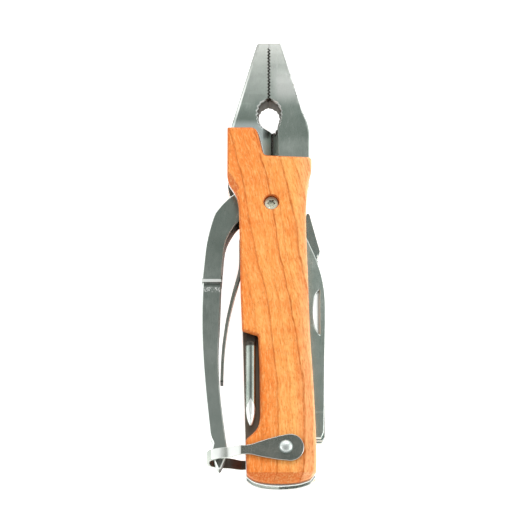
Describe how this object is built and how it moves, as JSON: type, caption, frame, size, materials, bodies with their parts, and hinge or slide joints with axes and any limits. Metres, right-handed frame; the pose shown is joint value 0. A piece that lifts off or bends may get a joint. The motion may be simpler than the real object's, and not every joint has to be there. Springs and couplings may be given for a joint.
{
  "type": "folding fishing pliers",
  "caption": "Fishing pliers with a spring lever and latch, wooden scales, folding knife, fish scaler, opener and screwdriver.",
  "frame": {"origin": "centre of the bottom of the bounding box, with the closed tool lying flat on its rear side", "axes": "+Y towards the jaw tips, +X towards the folding blades' side, +Z out of the front wooden scale"},
  "size_m": [0.0444, 0.1676, 0.0262],
  "materials": {
    "forged_steel": "satin, ground faces",
    "blade_steel": "fine satin",
    "sheet_steel": "bright satin",
    "spring_steel": "dark satin",
    "fastener_steel": "bright turned",
    "cherry_wood": "oiled, orange-brown, fine dark grain"
  },
  "bodies": {
    "handle": {"fixed_jaw": "forged_steel", "front_scale": "cherry_wood", "rear_scale": "cherry_wood", "front_liner": "sheet_steel", "rear_liner": "sheet_steel", "tang_pin_upper": "fastener_steel", "tang_pin_lower": "fastener_steel", "back_spring_pin_upper": "fastener_steel", "back_spring_pin_lower": "fastener_steel", "side_spacer_pin_upper": "fastener_steel", "side_spacer_pin_lower": "fastener_steel", "end_spacer_pin": "fastener_steel", "side_spacer": "sheet_steel", "end_spacer": "sheet_steel", "pivot_screw": "fastener_steel", "pivot_barrel": "fastener_steel", "lever_spring": "spring_steel", "spring_rivet": "fastener_steel", "blade_pin": "fastener_steel", "knife_back_spring": "spring_steel", "scaler_back_spring": "spring_steel", "opener_back_spring": "spring_steel", "front_divider": "sheet_steel", "rear_divider": "sheet_steel", "driver_pin": "fastener_steel", "latch_rivet": "fastener_steel"},
    "lever": {"moving_jaw": "forged_steel"},
    "latch": {"latch_bail": "sheet_steel"},
    "knife": {"knife_blade": "blade_steel"},
    "scaler": {"fish_scaler": "blade_steel"},
    "opener": {"bottle_opener": "blade_steel"},
    "driver": {"phillips_driver": "blade_steel"}
  },
  "joints": [
    {"name": "lever_open", "type": "hinge", "parent": "handle", "child": "lever", "pos_m": [0.00285, 0.02025, 0.0131], "axis": [0, 0, -1], "range_deg": [0, 20]},
    {"name": "latch_swing", "type": "hinge", "parent": "handle", "child": "latch", "pos_m": [0.00795, -0.07086, 0.0131], "axis": [0, 0, 1], "range_deg": [0, 200]},
    {"name": "knife_open", "type": "hinge", "parent": "handle", "child": "knife", "pos_m": [0.01565, -0.06085, 0.0131], "axis": [0, 0, -1], "range_deg": [0, 180]},
    {"name": "scaler_open", "type": "hinge", "parent": "handle", "child": "scaler", "pos_m": [0.01565, -0.06085, 0.0131], "axis": [0, 0, -1], "range_deg": [0, 180]},
    {"name": "opener_open", "type": "hinge", "parent": "handle", "child": "opener", "pos_m": [0.01565, -0.06085, 0.0131], "axis": [0, 0, -1], "range_deg": [0, 180]},
    {"name": "driver_open", "type": "hinge", "parent": "handle", "child": "driver", "pos_m": [-0.00445, -0.02474, 0.0131], "axis": [0, 0, -1], "range_deg": [0, 90]}
  ],
  "couplings": [
    {"joint": "latch_swing", "follows": "lever_open", "ratio": 10}
  ]
}
